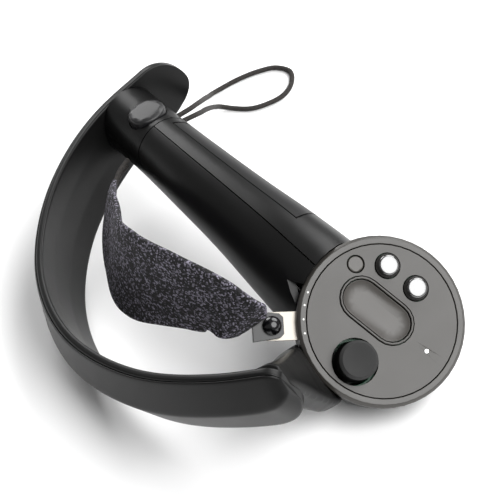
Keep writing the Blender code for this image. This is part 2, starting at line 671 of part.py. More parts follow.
def halo_thickness(x, left):
    """How much of the roof's height is kept: thin at the round end, rounded off at the terminal."""
    keep = 0.35 + 0.65 * min(1.0, x / 45.0)
    if left < 7.0:
        keep *= 0.25 + 0.75 * math.sqrt(max(0.0, 1.0 - (1.0 - left / 7.0) ** 2))
    return keep


def halo_sections(outline):
    """Rings of the halo for an outline(top, foot, keep, x) given as (down, out) pairs."""
    frames = halo_frames()
    run = [0.0]
    for before, after in zip(frames, frames[1:]):
        run.append(run[-1] + (after[0] - before[0]).length)
    sections = []
    for (edge, out, share), x in zip(frames, run):
        left = run[-1] - x
        top, foot = halo_span(x, left)
        points = outline(top, foot, halo_thickness(x, left), x)
        sections.append([edge + HALO_DROP * p + out * q for p, q in points])
    return sections


def make_halo(root):
    """The inner shell, the roof-shaped outer cover, and the sensor strip between them."""
    skin = HALO_SKIN + 0.4

    def inner(top, foot, keep, x):
        third = (foot - top) / 3.0
        hollow = 0.6 * min(1.0, max(0.0, (x - 30.0) / 20.0))
        return [(top, 0.0), (top + third, hollow), (foot - third, hollow), (foot, 0.0), (foot, skin),
                (top, skin)]

    def cover(top, foot, keep, x):
        base = skin + GAP
        crest = base + (HALO_CREST_Q - base) * keep
        low = base + (HALO_FOOT_Q - base) * keep
        at = top + (foot - top) * HALO_CREST / HALO_WIDTH
        wall = min(HALO_COVER_WALL, 0.2 * (foot - top))
        roof = max(base + 0.02, crest - HALO_COVER_WALL)
        eave = max(base + 0.02, low - HALO_COVER_WALL + 0.2)
        return [(top, base), (top + 0.2, base + 0.6 * keep), (at, crest), (foot - 0.3, low), (foot, base),
                (foot - wall, base), (foot - wall, eave), (at, roof), (top + wall, base + 0.01),
                (top + wall, base)]

    verts, faces = lofted(halo_sections(inner))
    add_mesh("halo_inner_shell", verts, faces, "shell_plastic", root)
    verts, faces = lofted(halo_sections(cover)[1:-1])
    add_mesh("halo_outer_cover", verts, faces, "shell_plastic", root)
    first, last = 9, HALO_STATIONS - 5
    low = skin + GAP + 0.3
    strip = [(4.5, low), (12.5, low), (12.5, low + 0.4), (4.5, low + 0.4)]
    sections = halo_sections(lambda top, foot, keep, x: strip)[first:last]
    verts, faces = lofted(sections)
    add_mesh("halo_sensor_flex", verts, faces, "flex_circuit", root)
    frames = halo_frames()
    for k in range(SENSOR_COUNT):
        i = round(first + 4 + (last - first - 8) * k / (SENSOR_COUNT - 1))
        edge, out, share = frames[i]
        along = HALO_DROP.cross(out).normalized()
        base = edge + HALO_DROP * 8.0 + out * (low + 0.4 + GAP)
        ring = [(-1.4, -1.4), (1.4, -1.4), (1.4, 1.4), (-1.4, 1.4)]
        sections = [[base + along * a + HALO_DROP * b + out * h for a, b in ring] for h in (0.0, 0.9)]
        verts, faces = lofted(sections)
        add_mesh(f"tracking_sensor_{k + 1}", verts, faces, "clear_plastic", root)


def halo_clearance(root):
    """A guide that cuts whatever meets the halo's inner face back by the gap."""
    def outline(top, foot, keep, x):
        return [(-4.0, -GAP), (HALO_WIDTH + 4.0, -GAP), (HALO_WIDTH + 4.0, 14.0), (-4.0, 14.0)]

    verts, faces = lofted(halo_sections(outline))
    guide = add_mesh("halo_clearance", verts, faces, "shell_plastic", root)
    guide.hide_render = True
    guide.display_type = "WIRE"
    return guide


def head_clearance(root):
    """A guide that cuts the handle and the arm back from the head and from the bezel above it."""
    outer = head_profile(GAP)
    rim = BEZEL_R + GAP
    profile = [(0.0, outer[-1][1])] + outer[-2::-1] + [(rim, -BEZEL_H - GAP), (rim, 9.0), (0.0, 9.0)]
    verts, faces = turned(profile, TURN)
    guide = add_mesh("head_clearance", verts, faces, "shell_plastic", root)
    v = TRIGGER_AT[1]
    half = TRIGGER_W / 2.0 + CHEEK_GAP + CHEEK_T + GAP
    side = [(8.0, -17.0), (8.0, -HEAD_DEPTH * 2.0), (-11.5 - GAP, -HEAD_DEPTH * 2.0), (-11.5 - GAP, -17.0)]
    verts, faces = lofted([[(x, v - half, z) for x, z in side], [(x, v + half, z) for x, z in side]])
    cut(guide, add_mesh("cheek_clearance", verts, faces, "shell_plastic", root), "UNION")
    guide.hide_render = True
    guide.display_type = "WIRE"
    return guide


def slider_clearance(root):
    """A guide that cuts the handle and the arm back from the bracket wherever it slides to."""
    low = -BEZEL_H - GAP - BRACKET_T - 0.1 - GAP
    inside = BEZEL_R - 1.8 - GAP
    outside = RIVET_REACH + BRACKET_W / 2.0 + GAP
    spread = math.degrees(math.asin((BRACKET_W / 2.0 + 2.0 * GAP) / inside)) + 0.5
    arc = [math.radians(a) for a in np.linspace(MARK_ANGLE + SLIDE_RANGE[0] - spread,
                                                MARK_ANGLE + SLIDE_RANGE[1] + spread, 14)]
    outline = [(outside * math.cos(a), outside * math.sin(a)) for a in arc]
    outline += [(inside * math.cos(a), inside * math.sin(a)) for a in arc[::-1]]
    verts, faces = lofted_strip([[(u, v, h) for u, v in outline] for h in (low, 9.0)])
    guide = add_mesh("slider_clearance", verts, faces, "shell_plastic", root)
    guide.hide_render = True
    guide.display_type = "WIRE"
    return guide


def make_arm(root, clear_head, clear_halo, clear_slider):
    """The bridge arm from the head's side up to the halo's inner face."""
    rows = smooth_line(ARM_STATIONS, 15)
    ahead = np.gradient(rows[:, :3], axis=0)
    sections = []
    for row, along in zip(rows, ahead):
        along = Vector(along).normalized()
        across = Vector(row[3:6])
        across = (across - along * across.dot(along)).normalized()
        deep = along.cross(across).normalized()
        a, b, near, far = row[6] / 2.0, row[7] / 2.0, row[8], row[9]
        ease = min(a, b) * 0.4
        corner = [(-a + near, -b + ease), (-a + near + ease, -b), (a - ease, -b), (a, -b + ease),
                  (a, b - ease), (a - ease, b), (-a + far + ease, b), (-a + far, b - ease)]
        sections.append([Vector(row[:3]) + across * p + deep * q for p, q in corner])
    verts, faces = lofted(sections)
    arm = add_mesh("bridge_arm", verts, faces, "shell_plastic", root)
    cut(arm, clear_head)
    cut(arm, clear_halo)
    cut(arm, clear_slider)
    return arm


# ---------------------------------------------------------------- strap, cords and small parts

def make_strap(root):
    """The rim slider with its bracket, rivet and swivelling tab, and the strap behind them."""
    angle = math.radians(MARK_ANGLE)
    slider = add_empty("strap_slide_axis", root, (0.0, 0.0, 0.0), (0.0, 0.0, angle))
    low = -BEZEL_H - GAP - BRACKET_T - 0.1
    high = low + BRACKET_T
    rivet = 1.5
    outline = [(BEZEL_R - 1.8, -BRACKET_W / 2.0), (RIVET_REACH, -BRACKET_W / 2.0)]
    for k in range(1, 12):
        a = math.pi * (k / 12.0 - 0.5)
        outline.append((RIVET_REACH + BRACKET_W / 2.0 * math.cos(a), BRACKET_W / 2.0 * math.sin(a)))
    outline += [(RIVET_REACH, BRACKET_W / 2.0), (BEZEL_R - 1.8, BRACKET_W / 2.0)]
    verts, faces = extruded(outline, low, high)
    bracket = add_mesh("strap_bracket", verts, faces, "steel", slider)
    verts, faces = turned(disc(rivet + GAP / 2.0, low - 1.0, high + 1.0), 16)
    cut(bracket, add_mesh("bracket_hole", verts, faces, "steel", slider, (RIVET_REACH, 0.0, 0.0)))
    arc = [math.radians(a) for a in np.linspace(-13.0, 13.0, 9)]
    outside = BEZEL_R - 1.8 - GAP
    inside = outside - 2.2
    outline = [(outside * math.cos(a), outside * math.sin(a)) for a in arc]
    outline += [(inside * math.cos(a), inside * math.sin(a)) for a in arc[::-1]]
    verts, faces = lofted_strip([[(u, v, h) for u, v in outline] for h in (low, high)])
    add_mesh("slider_carriage", verts, faces, "shell_plastic", slider)
    tab_axis = add_empty("strap_swivel_axis", slider, (RIVET_REACH, 0.0, 0.0))
    tab_low, tab_high = high + GAP, high + GAP + 1.6
    outline = [(-3.8, -2.6), (-2.6, -3.8), (6.0, -4.8), (6.0, 4.8), (-2.6, 3.8), (-3.8, 2.6)]
    verts, faces = extruded(outline, tab_low, tab_high)
    tab = add_mesh("strap_tab", verts, faces, "shell_plastic", tab_axis)
    verts, faces = turned(disc(rivet + GAP / 2.0, tab_low - 1.0, tab_high + 1.0), 16)
    cut(tab, add_mesh("tab_hole", verts, faces, "shell_plastic", tab_axis))
    top = tab_high + GAP
    dome = [(0.0, low - 0.4 - 0.6), (2.4, low - 0.4 - 0.6), (2.4, low - 0.4), (rivet, low - 0.4),
            (rivet, top), (3.0, top), (3.0, top + 0.6), (2.3, top + 1.7), (1.2, top + 2.2), (0.0, top + 2.35)]
    verts, faces = turned(dome, 20)
    add_mesh("strap_rivet", verts, faces, "dark_steel", slider, (RIVET_REACH, 0.0, 0.0))
    rows = np.hstack([np.array(STRAP_LINE), np.array(STRAP_WIDTHS)[:, None]])
    line = smooth_line(rows, 17)
    sections = []
    for i in range(len(line)):
        ahead = Vector(line[min(i + 1, 16), :3]) - Vector(line[max(i - 1, 0), :3])
        ahead.normalize()
        across = (STRAP_ACROSS - ahead * STRAP_ACROSS.dot(ahead)).normalized()
        thick = across.cross(ahead).normalized()
        a, b = line[i, 3] / 2.0, STRAP_T / 2.0
        corner = [(-a, -b * 0.4), (-a + 1.0, -b), (a - 1.0, -b), (a, -b * 0.4), (a, b * 0.4),
                  (a - 1.0, b), (-a + 1.0, b), (-a, b * 0.4)]
        sections.append([Vector(line[i, :3]) + across * p + thick * q for p, q in corner])
    verts, faces = lofted(sections)
    add_mesh("hand_strap", verts, faces, "strap_fabric", root)


def add_cord(name, points, count, diameter, parent):
    """A cord as a round tube along a smooth curve through its route's points."""
    curve = bpy.data.curves.new(name, "CURVE")
    curve.dimensions = "3D"
    curve.bevel_depth = diameter / 2.0 * MM
    curve.bevel_resolution = 2
    curve.use_fill_caps = True
    spline = curve.splines.new("POLY")
    line = smooth_line(points, count) * MM
    spline.points.add(count - 1)
    for point, place in zip(spline.points, line):
        point.co = (*place, 1.0)
    curve.materials.append(finish_of("cord_fabric"))
    cord = bpy.data.objects.new(name, curve)
    bpy.context.scene.collection.objects.link(cord)
    cord.parent = parent
    return cord


def make_cords(table, root):
    """The two short cords that tie the strap's end to the handle, and the free draw cord."""
    for name, lift in (("strap_cord_upper", 1.6), ("strap_cord_lower", -1.6)):
        way = STRAP_ACROSS * lift
        start = Vector((-79.0, -39.2, -55.6)) + way
        middle = Vector((-82.0, -35.0, -58.6)) + way
        end = Vector((-84.4, -29.4, -62.2)) + way
        add_cord(name, [start, middle, end], 6, 1.6, root)
    add_cord("draw_cord", CORD_ROUTE, 66, CORD_D, table)


def make_cord_lock(root, cap, frames):
    """The oval release button at the handle's end, its spring and the toggle on the cord."""
    at = Vector(LOCK_AT)
    nearest = min(frames, key=lambda f: (f[0] + f[3] * f[1] - at).length)
    centre, radius, side, above = nearest
    turn = Matrix((side, above.cross(side), above)).transposed().to_euler()
    base = centre + above * (radius - 5.0)
    verts, faces = extruded(capsule(LOCK_LENGTH + 2 * GAP, LOCK_WIDTH + 2 * GAP, 8), 0.0, 9.0)
    pocket = add_mesh("lock_pocket", verts, faces, "shell_plastic", root, base, turn)
    cut(cap, pocket)
    axis = add_empty("cord_lock_axis", root, base, turn)
    outline = capsule(LOCK_LENGTH, LOCK_WIDTH, 8)
    low = 0.7 + GAP + LOCK_TRAVEL
    levels = [(0.0, low), (0.0, 5.2), (0.8, 6.0), (3.0, 6.5)]
    rings = [[(x * (1 - less / LOCK_LENGTH), y * (1 - less / LOCK_WIDTH), h) for x, y in outline]
             for less, h in levels]
    verts, faces = lofted(rings)
    add_mesh("cord_lock_button", verts, faces, "shell_plastic", axis)
    verts, faces = turned([(1.2, GAP), (2.2, GAP), (2.2, 0.7), (1.2, 0.7)], 12, closed=True)
    add_mesh("cord_lock_spring", verts, faces, "steel", root, base, turn)


def make_screws(root, head):
    """Three screws up through the head's underside."""
    for k, (u, v) in enumerate(SCREWS_AT):
        under = -HEAD_DEPTH
        verts, faces = turned([(0.0, under - 1.0), (2.0, under - 1.0), (2.0, under + 1.0),
                               (1.0, under + 1.0), (1.0, under + 4.0), (0.0, under + 4.0)], 16)
        cut(head, add_mesh(f"screw_well_{k + 1}", verts, faces, "steel", root, (u, v, 0.0)))
        verts, faces = turned([(0.0, under + 0.25), (1.0, under + 0.25), (1.7, under + 0.05),
                               (1.7, under + 0.75), (0.75, under + 0.75), (0.75, under + 4.2),
                               (0.0, under + 4.2)], 16)
        add_mesh(f"head_screw_{k + 1}", verts, faces, "dark_steel", root, (u, v, 0.0))


def stand_on_origin(table, cords):
    """Moves the whole model so that the middle of its footprint, cords left out, is at the origin."""
    bpy.context.view_layer.update()
    graph = bpy.context.evaluated_depsgraph_get()
    low = np.full(3, np.inf)
    high = np.full(3, -np.inf)
    for piece in bpy.context.scene.objects:
        if piece.type != "MESH" or piece.hide_render or piece.name in cords:
            continue
        shape = piece.evaluated_get(graph)
        corners = np.array([shape.matrix_world @ v.co for v in shape.data.vertices])
        low = np.minimum(low, corners.min(axis=0))
        high = np.maximum(high, corners.max(axis=0))
    table.location = (-(low[0] + high[0]) / 2.0, -(low[1] + high[1]) / 2.0, -low[2])


def build():
    """Makes every piece."""
    clear_scene()
    table, root = make_frames()
    make_face(root)
    make_buttons(root)
    make_trackpad(root)
    make_thumbstick(root)
    make_boards(root)
    head = make_head(root)
    make_screws(root, head)
    make_trigger(root)
    clear_head = head_clearance(root)
    clear_halo = halo_clearance(root)
    clear_slider = slider_clearance(root)
    cap, frames = make_handle(root, clear_head, clear_halo, clear_slider)
    make_cord_lock(root, cap, frames)
    make_handle_core(root)
    make_halo(root)
    make_arm(root, clear_head, clear_halo, clear_slider)
    make_strap(root)
    make_cords(table, root)
    stand_on_origin(table, {"draw_cord"})


build()
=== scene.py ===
"""Studio picture of the left-hand motion controller, lying on a pale table.

Everything is in metres, in the model's own frame: +Z up from the table, +Y from the face disc
towards the free end of the handle. Shapes drawn in the controller's own frame use u, v, w in
millimetres from the middle of the face: u to its front, v towards the fingers, w out of the face.
"""
import json
import math

import bpy
import numpy as np
from mathutils import Matrix, Vector


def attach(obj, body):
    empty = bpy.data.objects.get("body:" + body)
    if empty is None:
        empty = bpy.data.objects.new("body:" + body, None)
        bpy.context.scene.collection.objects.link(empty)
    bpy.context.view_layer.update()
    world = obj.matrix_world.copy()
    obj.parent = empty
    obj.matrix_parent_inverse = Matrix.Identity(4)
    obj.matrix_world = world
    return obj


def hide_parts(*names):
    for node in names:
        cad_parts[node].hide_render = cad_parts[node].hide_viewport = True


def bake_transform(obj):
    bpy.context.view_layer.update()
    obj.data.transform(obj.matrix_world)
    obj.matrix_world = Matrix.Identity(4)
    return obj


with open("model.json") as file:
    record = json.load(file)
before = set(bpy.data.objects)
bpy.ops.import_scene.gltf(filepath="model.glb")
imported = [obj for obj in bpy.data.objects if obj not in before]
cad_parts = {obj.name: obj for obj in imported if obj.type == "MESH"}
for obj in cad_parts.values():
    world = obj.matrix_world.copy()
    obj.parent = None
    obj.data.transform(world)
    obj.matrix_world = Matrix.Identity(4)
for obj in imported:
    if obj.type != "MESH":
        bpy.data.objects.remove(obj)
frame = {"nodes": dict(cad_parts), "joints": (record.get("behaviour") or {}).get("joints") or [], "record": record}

MM = 0.001
JOINTS = {joint["name"]: joint for joint in frame["joints"]}
FACE_AT = np.array(JOINTS["strap_slide"]["pos_m"])
AXES = np.array([JOINTS["stick_roll"]["axis"], JOINTS["stick_pitch"]["axis"],
                 JOINTS["strap_slide"]["axis"]])
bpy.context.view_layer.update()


def placed(points):
    """Points in u, v, w millimetres as points of the model's frame in metres."""
    return FACE_AT + np.asarray(points, dtype=float) @ AXES * MM


# ---------------------------------------------------------------- camera

LOOK_TURN = math.radians(47.0)       # the camera looks between +X and +Y
LOOK_DOWN = math.radians(44.1)
DISTANCE = 1.18                      # m from the disc to the camera
EYE_ASIDE, EYE_ABOVE = 0.021, 0.029  # m from the line through the disc's centre, to the right and up
AIM_ASIDE, AIM_ABOVE = -0.041, 0.022 # m from the disc's centre to the middle of the picture
VIEW_WIDTH = 0.155                   # m across the picture at the object
SENSOR = 36.0                        # mm


def add_camera():
    """A long lens from the front left, looking down at the middle of the controller."""
    ahead = Vector((math.sin(LOOK_TURN) * math.cos(LOOK_DOWN), math.cos(LOOK_TURN) * math.cos(LOOK_DOWN),
                    -math.sin(LOOK_DOWN)))
    right = Vector((math.cos(LOOK_TURN), -math.sin(LOOK_TURN), 0.0))
    above = right.cross(ahead)
    place = Vector(FACE_AT) - ahead * DISTANCE + right * EYE_ASIDE + above * EYE_ABOVE
    aim = Vector(FACE_AT) + right * AIM_ASIDE + above * AIM_ABOVE
    data = bpy.data.cameras.new("camera")
    data.sensor_width = SENSOR
    data.lens = SENSOR * (aim - place).length / VIEW_WIDTH
    data.clip_start = 0.05
    data.dof.use_dof = False
    camera = bpy.data.objects.new("camera", data)
    bpy.context.scene.collection.objects.link(camera)
    camera.location = place
    forward = (aim - place).normalized()
    across = forward.cross(above).normalized()
    camera.rotation_euler = Matrix((across, across.cross(forward), -forward)).transposed().to_euler()
    bpy.context.scene.camera = camera


add_camera()


# ---------------------------------------------------------------- materials

def linear(code):
    """A colour as the shaders want it, from its sRGB hex code."""
    parts = [int(code[i:i + 2], 16) / 255.0 for i in (0, 2, 4)]
    return (*[p / 12.92 if p <= 0.04045 else ((p + 0.055) / 1.055) ** 2.4 for p in parts], 1.0)


def add_node(tree, kind, links=(), **settings):
    """A shader node with its settings; links gives (input, socket that feeds it) pairs."""
    node = tree.nodes.new(kind)
    for key, value in settings.items():
        if key in node.inputs:
            node.inputs[key].default_value = value
        else:
            setattr(node, key, value)
    for name, socket in links:
        tree.links.new(socket, node.inputs[name])
    return node


def new_material(name, colour, roughness, metallic=0.0, **more):
    """A Principled material and its tree and shader."""
    material = bpy.data.materials.new(name)
    material.use_nodes = True
    tree = material.node_tree
    shader = tree.nodes["Principled BSDF"]
    shader.inputs["Base Color"].default_value = linear(colour)
    shader.inputs["Roughness"].default_value = roughness
    shader.inputs["Metallic"].default_value = metallic
    for key, value in more.items():
        shader.inputs[key].default_value = value
    return material, tree, shader


def grained(material, tree, shader, grain_mm, depth_mm, rough_low, rough_high):
    """Moulded grain: fine noise as height, and slow noise that varies the gloss."""
    place = add_node(tree, "ShaderNodeTexCoord").outputs["Object"]
    fine = add_node(tree, "ShaderNodeTexNoise", [("Vector", place)], Scale=1000.0 / grain_mm, Detail=2.0)
    bump = add_node(tree, "ShaderNodeBump", [("Height", fine.outputs["Fac"])],
                    Strength=1.0, Distance=depth_mm * MM)
    tree.links.new(bump.outputs["Normal"], shader.inputs["Normal"])
    slow = add_node(tree, "ShaderNodeTexNoise", [("Vector", place)], Scale=1000.0 / 9.0, Detail=3.0)
    gloss = add_node(tree, "ShaderNodeMapRange", [("Value", slow.outputs["Fac"])])
    gloss.inputs["To Min"].default_value = rough_low
    gloss.inputs["To Max"].default_value = rough_high
    tree.links.new(gloss.outputs["Result"], shader.inputs["Roughness"])
    return material


# Moulded polycarbonate of the shells, spark-eroded grain about 0.25 mm across
SHELL = grained(
    *new_material("black_moulded_polycarbonate", "090909", 0.38, **{"Specular IOR Level": 0.22}),
    0.25, 0.002, 0.33, 0.40)
# Soft-touch coating of the finger panel
PANEL = grained(*new_material("soft_touch_coating", "0b0b0c", 0.46, **{"Specular IOR Level": 0.24}),
                0.2, 0.002, 0.42, 0.48)
# Warm grey face, sprayed, grain about 0.2 mm
FACE = grained(*new_material("warm_grey_sprayed_plastic", "34322f", 0.42), 0.2, 0.003, 0.40, 0.48)
BEZEL = grained(*new_material("grey_bezel_plastic", "32302d", 0.38), 0.2, 0.002, 0.34, 0.42)
PAD = grained(*new_material("touchpad_plastic", "322f2b", 0.36), 0.15, 0.002, 0.32, 0.40)
BUTTON = new_material("glossy_black_acrylic", "0d0d0e", 0.16, **{"Coat Weight": 1.0, "Coat IOR": 2.0,
                                                                 "Coat Roughness": 0.12})[0]
TAB = new_material("glossy_black_nylon", "08080a", 0.42)[0]
DOME = new_material("glossy_black_rivet", "08080a", 0.15)[0]
STICK = grained(*new_material("stick_rubber", "1c1c1c", 0.80), 0.4, 0.010, 0.74, 0.86)
STEEL = new_material("bright_stainless_steel", "8a867f", 0.42, 1.0)[0]
DARK_STEEL = new_material("blackened_steel", "6c6a66", 0.24, 1.0)[0]
BOARD = new_material("green_solder_mask", "1a5238", 0.40)[0]
FLEX = new_material("polyimide_film", "b06a20", 0.35)[0]
BATTERY = new_material("blue_shrink_wrap", "4a6ea0", 0.35)[0]
SILICONE = new_material("grey_silicone", "b8b8ba", 0.60)[0]
LIGHT = new_material("light_pipe", "ffffff", 0.30)[0]
LIGHT.node_tree.nodes["Principled BSDF"].inputs["Emission Color"].default_value = (1.0, 1.0, 1.0, 1.0)
LIGHT.node_tree.nodes["Principled BSDF"].inputs["Emission Strength"].default_value = 1.2
SENSOR_GLASS = new_material("infrared_window", "15151a", 0.12)[0]

def knit_fabric():
    """Heather knit: loops 0.55 mm across in black, charcoal or pale violet, each rounded as height."""
    material, tree, shader = new_material("heather_knit", "2a292c", 0.92)
    place = add_node(tree, "ShaderNodeTexCoord").outputs["Object"]
    cells = add_node(tree, "ShaderNodeTexVoronoi", [("Vector", place)], Scale=1000.0 / 0.55,
                     Randomness=1.0)
    yarn = add_node(tree, "ShaderNodeValToRGB", [("Fac", cells.outputs["Color"])])
    stops = yarn.color_ramp.elements
    stops[0].position, stops[0].color = 0.46, linear("0b0a0c")
    stops[1].position, stops[1].color = 0.84, linear("807c8a")
    middle = stops.new(0.62)
    middle.color = linear("212025")
    tree.links.new(yarn.outputs["Color"], shader.inputs["Base Color"])
    loop = add_node(tree, "ShaderNodeMapRange", [("Value", cells.outputs["Distance"])])
    loop.inputs["To Min"].default_value = 1.0
    loop.inputs["To Max"].default_value = 0.0
    bump = add_node(tree, "ShaderNodeBump", [("Height", loop.outputs["Result"])],
                    Strength=1.0, Distance=0.22 * MM)
    tree.links.new(bump.outputs["Normal"], shader.inputs["Normal"])
    return material


def braided_fabric():
    """Two sets of strands crossing round the cord, each strand about 0.3 mm wide."""
    material, tree, shader = new_material("braided_cord", "171412", 0.85)
    place = add_node(tree, "ShaderNodeUVMap").outputs["UV"]
    waves = []
    for lean in (45.0, -45.0):
        turned = add_node(tree, "ShaderNodeMapping", [("Vector", place)],
                          Rotation=(0.0, 0.0, math.radians(lean)))
        wave = add_node(tree, "ShaderNodeTexWave", [("Vector", turned.outputs["Vector"])],
                        Scale=1000.0 / (0.3 * 20.0), Distortion=0.0)
        waves.append(wave.outputs["Fac"])
    both = add_node(tree, "ShaderNodeMath", operation="MAXIMUM")
    tree.links.new(waves[0], both.inputs[0])
    tree.links.new(waves[1], both.inputs[1])
    tone = add_node(tree, "ShaderNodeValToRGB", [("Fac", both.outputs["Value"])])
    tone.color_ramp.elements[0].color = linear("0f0d0c")
    tone.color_ramp.elements[1].color = linear("211d1a")
    tree.links.new(tone.outputs["Color"], shader.inputs["Base Color"])
    bump = add_node(tree, "ShaderNodeBump", [("Height", both.outputs["Value"])],
                    Strength=1.0, Distance=0.10 * MM)
    tree.links.new(bump.outputs["Normal"], shader.inputs["Normal"])
    return material


KNIT = knit_fabric()
BRAID = braided_fabric()
PAINT = new_material("white_ink", "d8d8d4", 0.5)[0]

FINISH_OF = {
    "face_plastic": FACE, "bezel_plastic": BEZEL, "shell_plastic": SHELL, "soft_touch": PANEL,
    "gloss_button": BUTTON, "pad_plastic": PAD, "stick_rubber": STICK, "steel": STEEL,
    "dark_steel": DARK_STEEL, "circuit_board": BOARD, "flex_circuit": FLEX, "battery_wrap": BATTERY,
    "silicone": SILICONE, "clear_plastic": SENSOR_GLASS,
}
SLOT_OF = {part["node"]: part["material_slot"] for part in frame["record"]["subparts"]}
EASED = {"face_plate": 0.15, "thumbstick_cap": 0.5, "strap_bracket": 0.25,
         "trigger": 0.8, "head_shell": 0.4, "handle_end_cap": 0.8, "cord_lock_button": 0.5}


def finish_nodes():
    """Gives each CAD piece its material, smooth shading and slightly eased edges."""
    for name, node in frame["nodes"].items():
        finish = FINISH_OF.get(SLOT_OF[name])
        if finish:
            node.data.materials.clear()
            node.data.materials.append(finish)
        node.data.polygons.foreach_set("use_smooth", np.ones(len(node.data.polygons), dtype=bool))
        node.modifiers.new("weld", "WELD").merge_threshold = 0.00001
        ease = node.modifiers.new("eased_edges", "BEVEL")
        ease.width = EASED.get(name, 0.2) * MM
        ease.segments = 2
        ease.limit_method = "ANGLE"
        ease.angle_limit = math.radians(38.0)
        ease.harden_normals = True
        node.modifiers.new("face_normals", "WEIGHTED_NORMAL").weight = 100
    frame["nodes"]["status_light_pipe"].data.materials[0] = LIGHT
    frame["nodes"]["strap_tab"].data.materials[0] = TAB
    frame["nodes"]["cord_lock_button"].data.materials[0] = TAB
    frame["nodes"]["strap_rivet"].data.materials[0] = DOME


def soften_arm():
    """Rounds every edge of the bridge arm by about 1.5 mm: a 0.4 mm remesh, then smoothed."""
    arm = frame["nodes"]["bridge_arm"]
    even = arm.modifiers.new("even_mesh", "REMESH")
    even.mode = "VOXEL"
    even.voxel_size = 0.4 * MM
    even.use_smooth_shade = True
    soft = arm.modifiers.new("soft_edges", "SMOOTH")
    soft.factor = 0.5
    soft.iterations = 30


finish_nodes()
soften_arm()


# ---------------------------------------------------------------- drawn surfaces

def smooth_line(points, count):
    """count rows, evenly spaced along a cubic curve through the given rows."""
    rows = np.array(points, dtype=float)
    chord = np.linalg.norm(np.diff(rows[:, :3], axis=0), axis=1)
    knots = np.concatenate([[0.0], np.cumsum(chord)])
    slope = np.gradient(rows, knots, axis=0)
    fine = np.linspace(0.0, knots[-1], 40 * len(rows))
    at = np.clip(np.searchsorted(knots, fine, side="right") - 1, 0, len(rows) - 2)
    span = chord[at][:, None]
    t = ((fine - knots[at]) / chord[at])[:, None]
    curve = ((2 * t**3 - 3 * t**2 + 1) * rows[at] + (t**3 - 2 * t**2 + t) * span * slope[at]
             + (3 * t**2 - 2 * t**3) * rows[at + 1] + (t**3 - t**2) * span * slope[at + 1])
    run = np.concatenate([[0.0], np.cumsum(np.linalg.norm(np.diff(curve[:, :3], axis=0), axis=1))])
    even = np.linspace(0.0, run[-1], count)
    return np.stack([np.interp(even, run, curve[:, c]) for c in range(rows.shape[1])], axis=1)


def unit(rows):
    """Each row scaled to length one."""
    return rows / np.linalg.norm(rows, axis=-1, keepdims=True)


def add_skin(name, rings, finish, body, nodes):
    """A closed smooth skin: rings is (stations, points round, 3) in metres, both ends fanned shut.

    Its UV map holds the distances along and round it, in metres. It rides on body and stands for nodes.
    """
    stations, around = rings.shape[:2]
    middle = rings.mean(axis=1)
    verts = np.vstack([rings.reshape(-1, 3), middle[:1], middle[-1:]])
    row = np.arange(stations - 1)[:, None] * around
    here = np.arange(around)[None, :]
    after = (here + 1) % around
    quads = np.stack([row + here, row + after, row + around + after, row + around + here], axis=-1)
    quads = quads.reshape(-1, 4)
    start, end = stations * around, stations * around + 1
    near = np.arange(around)
    far = (stations - 1) * around + near
    fans = np.concatenate([np.stack([np.full(around, start), np.roll(near, -1), near], axis=-1),
                           np.stack([np.full(around, end), far, np.roll(far, -1)], axis=-1)])
    a, b, c = (verts[quads[:, k]] for k in (0, 1, 2))
    outwards = np.einsum("ij,ij->i", a - verts.mean(axis=0), np.cross(b - a, c - a)).sum() > 0.0
    if not outwards:
        quads = quads[:, ::-1]
        fans = fans[:, ::-1]
    mesh = bpy.data.meshes.new(name)
    mesh.from_pydata(verts.tolist(), [], quads.tolist() + fans.tolist())
    along = np.concatenate([[0.0], np.cumsum(np.linalg.norm(np.diff(middle, axis=0), axis=1))])
    widest = rings[np.argmax(np.ptp(rings, axis=1).sum(axis=1))]
    round_it = np.concatenate([[0.0], np.cumsum(np.linalg.norm(np.diff(widest, axis=0), axis=1))])
    flat = np.zeros((len(verts), 2))
    flat[:stations * around, 0] = np.repeat(along, around)
    flat[:stations * around, 1] = np.tile(round_it, stations)
    flat[end, 0] = along[-1]
    corners = np.empty(len(mesh.loops), dtype=np.int32)
    mesh.loops.foreach_get("vertex_index", corners)
    mesh.uv_layers.new(name="UVMap").data.foreach_set("uv", flat[corners].ravel())
    mesh.shade_smooth()
    mesh.materials.append(finish)
    piece = bpy.data.objects.new(name, mesh)
    bpy.context.scene.collection.objects.link(piece)
    if nodes:
        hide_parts(*nodes)
    if body:
        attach(piece, body)
    return piece


def eased(corners, count, passes):
    """Closed outlines of count even points through corners (stations, corners, 2), corners rounded.

    Each pass replaces every point by the 1:2:1 mean of itself and its two neighbours.
    """
    closed = np.concatenate([corners, corners[:, :1]], axis=1)
    length = np.linalg.norm(np.diff(closed, axis=1), axis=2)
    run = np.concatenate([np.zeros((len(corners), 1)), np.cumsum(length, axis=1)], axis=1)
    share = np.arange(count) / count
    rings = np.array([[np.interp(share * run[i, -1], run[i], closed[i, :, c]) for c in (0, 1)]
                      for i in range(len(corners))]).transpose(0, 2, 1)
    for _ in range(passes):
        rings = (np.roll(rings, 1, axis=1) + 2.0 * rings + np.roll(rings, -1, axis=1)) / 4.0
    return rings


# ---------------------------------------------------------------- cord

